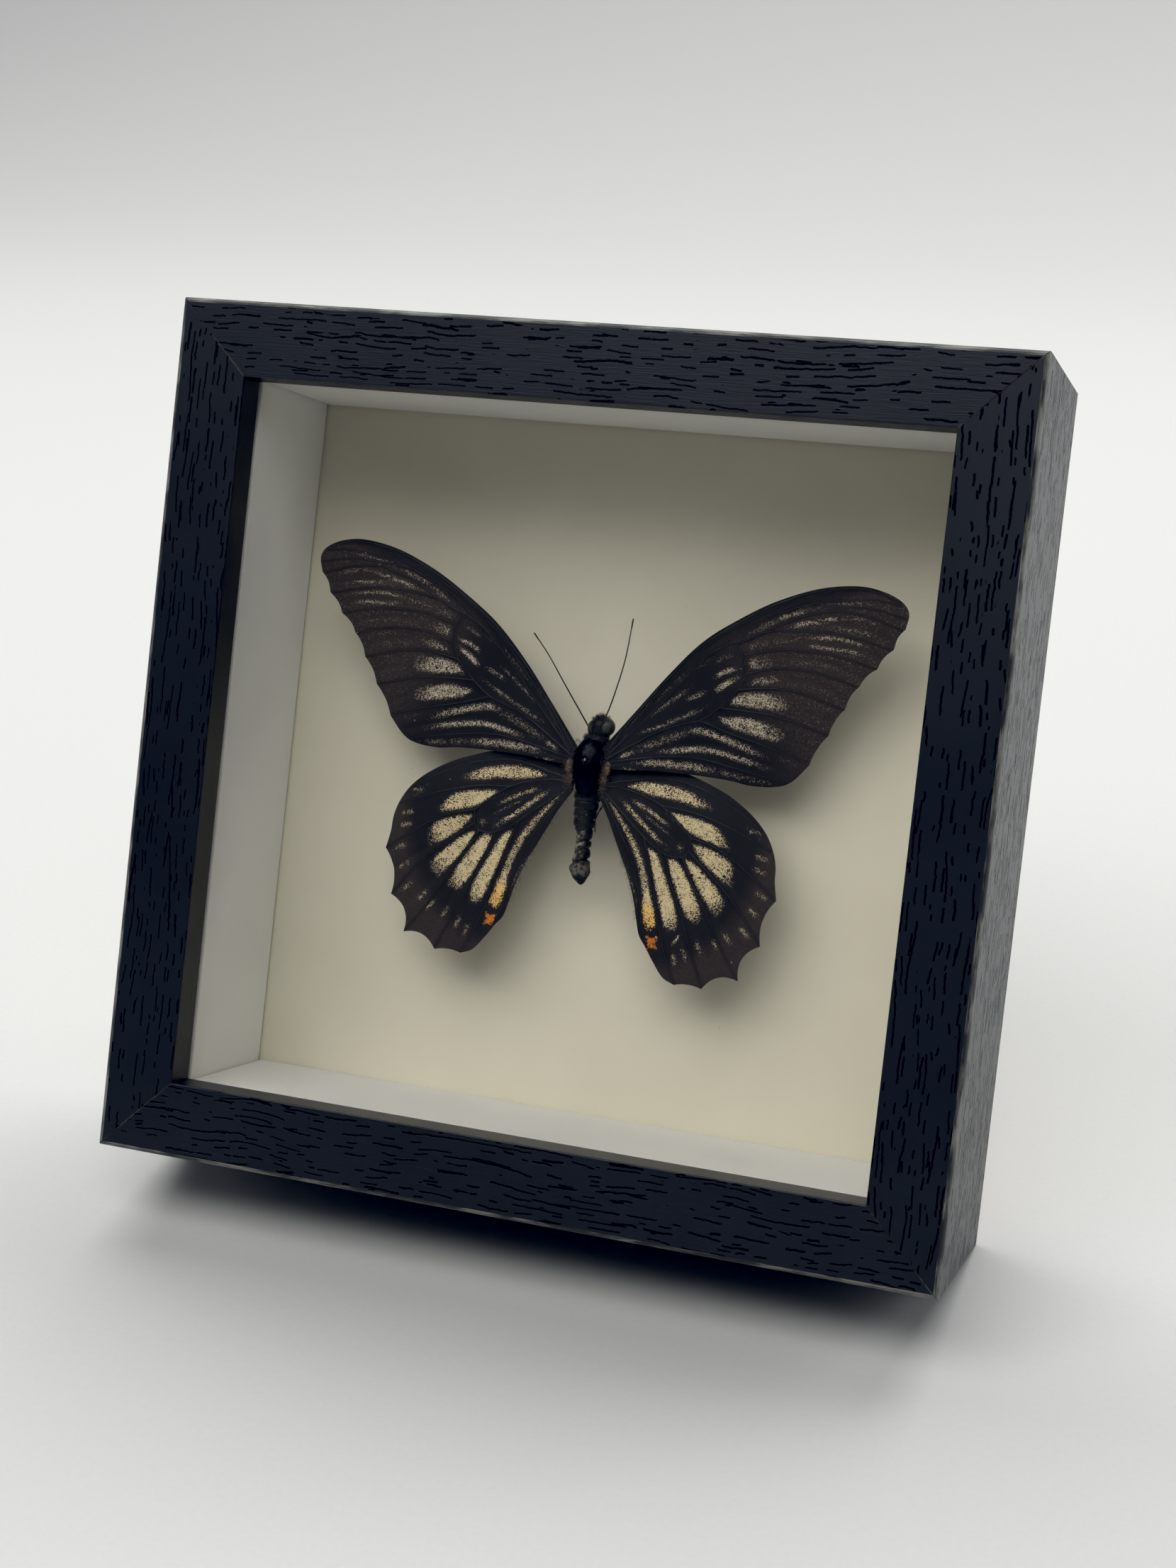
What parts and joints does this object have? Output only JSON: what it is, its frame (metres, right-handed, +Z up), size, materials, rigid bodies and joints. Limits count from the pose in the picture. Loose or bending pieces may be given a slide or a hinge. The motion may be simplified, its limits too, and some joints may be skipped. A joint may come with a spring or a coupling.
{
  "type": "framed butterfly specimen",
  "caption": "Square box frame with glass front, white liner and cream board holding a pinned dark swallowtail butterfly, leaning back on a folding easel leg.",
  "frame": {"origin": "centre of the bounding box in X and Y, on the table plane that the frame's back lower edge and the easel foot stand on", "axes": "+Z up, +X to the viewer's right across the frame, +Y away from the viewer; the frame leans back 20.3 degrees about X"},
  "size_m": [0.15, 0.1076, 0.1559],
  "materials": {
    "woodgrain_foil": "dark slate-navy embossed wood-grain foil over fibreboard, satin",
    "glass": "clear 2 mm float glass",
    "white_liner": "white card, matt",
    "cream_board": "cream mount board, matt",
    "hardboard": "brown hardboard, smooth face",
    "leg_board": "black paper over board",
    "zinc": "zinc-plated sheet",
    "steel": "bright steel",
    "pin_steel": "polished steel wire",
    "forewing": "black-brown scales with dusty cream rays",
    "hindwing": "black-brown scales with cream cells and an orange spot",
    "body": "black chitin, part glossy and part hairy, tan folds on the abdomen",
    "limb": "black chitin"
  },
  "bodies": {
    "case": {"rail_bottom": "woodgrain_foil", "rail_right": "woodgrain_foil", "rail_top": "woodgrain_foil", "rail_left": "woodgrain_foil", "glass_pane": "glass", "liner_left": "white_liner", "liner_right": "white_liner", "liner_bottom": "white_liner", "liner_top": "white_liner", "mount_board": "cream_board", "back_panel": "hardboard", "flexible_point_1": "zinc", "flexible_point_2": "zinc", "flexible_point_3": "zinc", "flexible_point_4": "zinc", "flexible_point_5": "zinc", "flexible_point_6": "zinc", "flexible_point_7": "zinc", "flexible_point_8": "zinc", "sawtooth_hanger": "zinc", "hanger_nail_1": "steel", "hanger_nail_2": "steel", "hinge_bracket": "steel", "bracket_rivet_1": "steel", "bracket_rivet_2": "steel", "bracket_rivet_3": "steel", "bracket_rivet_4": "steel", "hinge_pin": "steel", "forewing_right": "forewing", "forewing_left": "forewing", "hindwing_right": "hindwing", "hindwing_left": "hindwing", "body": "body", "antenna_left": "limb", "antenna_right": "limb", "leg_front_left": "limb", "leg_front_right": "limb", "leg_middle_left": "limb", "leg_middle_right": "limb", "leg_hind_left": "limb", "leg_hind_right": "limb", "specimen_pin": "pin_steel"},
    "easel": {"easel_leg": "leg_board", "hinge_leaf": "steel", "leaf_rivet_1": "steel", "leaf_rivet_2": "steel"}
  },
  "joints": [
    {"name": "easel_hinge", "type": "hinge", "parent": "case", "child": "easel", "pos_m": [0, 0.02936, 0.104], "axis": [1, 0, 0], "range_deg": [-33.3, 0]}
  ]
}
